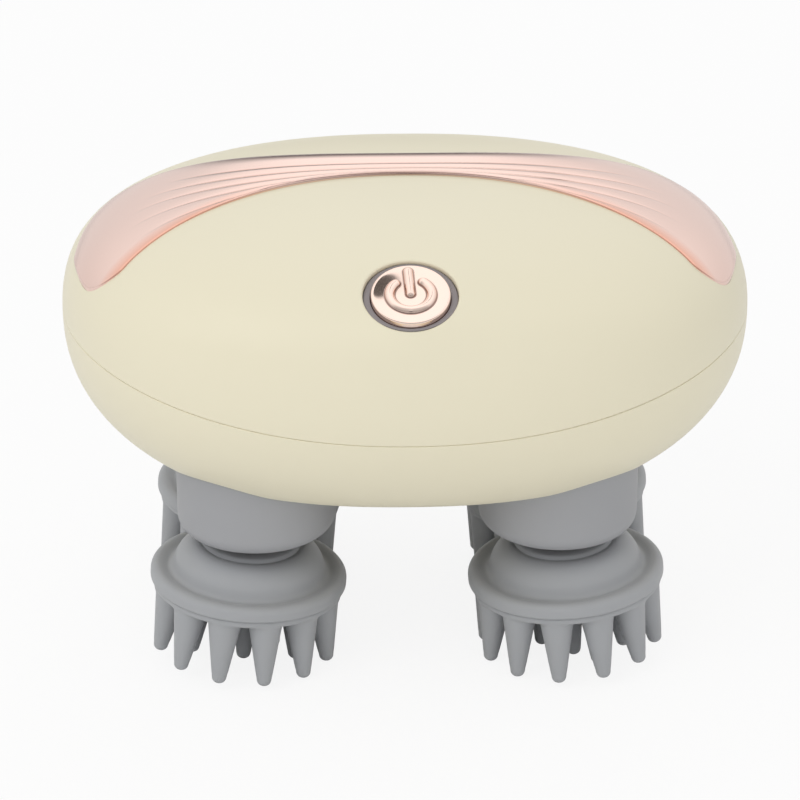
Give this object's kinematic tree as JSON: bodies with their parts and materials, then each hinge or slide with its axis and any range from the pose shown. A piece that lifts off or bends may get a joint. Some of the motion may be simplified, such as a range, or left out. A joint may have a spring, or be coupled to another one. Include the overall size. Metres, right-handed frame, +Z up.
{
  "type": "electric scalp massager",
  "caption": "Cordless scalp massager: an oval two-shell body with a power button and trim band over a gear train that turns kneading heads of soft fingers.",
  "frame": {"origin": "under the middle of the body, on the plane of the lowest fingertips", "axes": "+X to the right-hand side, -Y to the front with the power button, +Z up"},
  "size_m": [0.136, 0.1058, 0.0947],
  "materials": {
    "shell_cream": "fine satin lacquer",
    "rose_gold": "vacuum-metallised, polished",
    "bezel_grey": "satin",
    "collar_grey": "fine matt",
    "silicone_grey": "soft matt silicone",
    "seal_rubber": "matt",
    "dark_plastic": "moulded",
    "chassis_plastic": "moulded",
    "gear_white": "natural acetal",
    "steel": "turned",
    "bronze": "sintered",
    "board_green": "solder mask",
    "cell_wrap": "shrink sleeve"
  },
  "bodies": {
    "housing": {"upper_shell": "shell_cream", "lower_shell": "shell_cream", "trim_band": "rose_gold", "button_bezel": "bezel_grey", "button_switch": "dark_plastic", "main_board": "board_green", "battery_cell": "cell_wrap", "battery_cradle": "dark_plastic", "motor": "steel", "gearhead": "steel", "idler_axle": "steel", "gearbox_base": "chassis_plastic", "gearbox_cover": "chassis_plastic", "charge_socket": "steel", "case_screws": "steel", "chassis_screws": "steel", "collar_screws": "steel", "gearhead_screws": "steel", "board_screws": "steel", "collar_fl": "collar_grey", "collar_fr": "collar_grey", "collar_rl": "collar_grey", "collar_rr": "collar_grey", "lower_bush_fl": "bronze", "lower_bush_fr": "bronze", "lower_bush_rl": "bronze", "lower_bush_rr": "bronze", "upper_bush_fl": "bronze", "upper_bush_fr": "bronze", "upper_bush_rl": "bronze", "upper_bush_rr": "bronze", "shaft_seal_fl": "seal_rubber", "shaft_seal_fr": "seal_rubber", "shaft_seal_rl": "seal_rubber", "shaft_seal_rr": "seal_rubber"},
    "head_fl": {"head_gear_fl": "gear_white", "crank_shaft_fl": "steel", "head_hub_fl": "dark_plastic", "head_bell_fl": "silicone_grey", "finger_pad_fl": "silicone_grey"},
    "head_fr": {"head_gear_fr": "gear_white", "crank_shaft_fr": "steel", "head_hub_fr": "dark_plastic", "head_bell_fr": "silicone_grey", "finger_pad_fr": "silicone_grey"},
    "head_rl": {"head_gear_rl": "gear_white", "crank_shaft_rl": "steel", "head_hub_rl": "dark_plastic", "head_bell_rl": "silicone_grey", "finger_pad_rl": "silicone_grey"},
    "head_rr": {"head_gear_rr": "gear_white", "crank_shaft_rr": "steel", "head_hub_rr": "dark_plastic", "head_bell_rr": "silicone_grey", "finger_pad_rr": "silicone_grey"},
    "drive_train": {"drive_gear": "gear_white", "drive_shaft": "steel"},
    "idler": {"idler_gear": "gear_white"},
    "button": {"power_button": "rose_gold"},
    "plug": {"port_plug": "shell_cream"}
  },
  "joints": [
    {"name": "head_fl_turn", "type": "hinge", "parent": "housing", "child": "head_fl", "pos_m": [-0.02989, -0.0202, 0.05272], "axis": [0, 0, 1], "continuous": true},
    {"name": "head_fr_turn", "type": "hinge", "parent": "housing", "child": "head_fr", "pos_m": [0.02989, -0.0202, 0.05272], "axis": [0, 0, 1], "continuous": true},
    {"name": "head_rl_turn", "type": "hinge", "parent": "housing", "child": "head_rl", "pos_m": [-0.02989, 0.0202, 0.05272], "axis": [0, 0, 1], "continuous": true},
    {"name": "head_rr_turn", "type": "hinge", "parent": "housing", "child": "head_rr", "pos_m": [0.02989, 0.0202, 0.05272], "axis": [0, 0, 1], "continuous": true},
    {"name": "drive_turn", "type": "hinge", "parent": "housing", "child": "drive_train", "pos_m": [-0.0105, 0, 0.05272], "axis": [0, 0, 1], "continuous": true},
    {"name": "idler_turn", "type": "hinge", "parent": "housing", "child": "idler", "pos_m": [0.0105, 0, 0.05272], "axis": [0, 0, 1], "continuous": true},
    {"name": "button_press", "type": "slide", "parent": "housing", "child": "button", "axis": [0, 0.4067, -0.9135], "range_m": [0, 0.0008], "stiffness_N_per_m": 1500, "springref_m": -0.0002},
    {"name": "plug_pull", "type": "slide", "parent": "housing", "child": "plug", "axis": [0, 1, 0], "range_m": [0, 0.008]}
  ],
  "couplings": [
    {"joint": "head_rl_turn", "follows": "head_fl_turn", "ratio": 1},
    {"joint": "head_fr_turn", "follows": "head_fl_turn", "ratio": -1},
    {"joint": "head_rr_turn", "follows": "head_fl_turn", "ratio": -1},
    {"joint": "drive_turn", "follows": "head_fl_turn", "ratio": -1.6667},
    {"joint": "idler_turn", "follows": "head_fl_turn", "ratio": 1.6667}
  ]
}
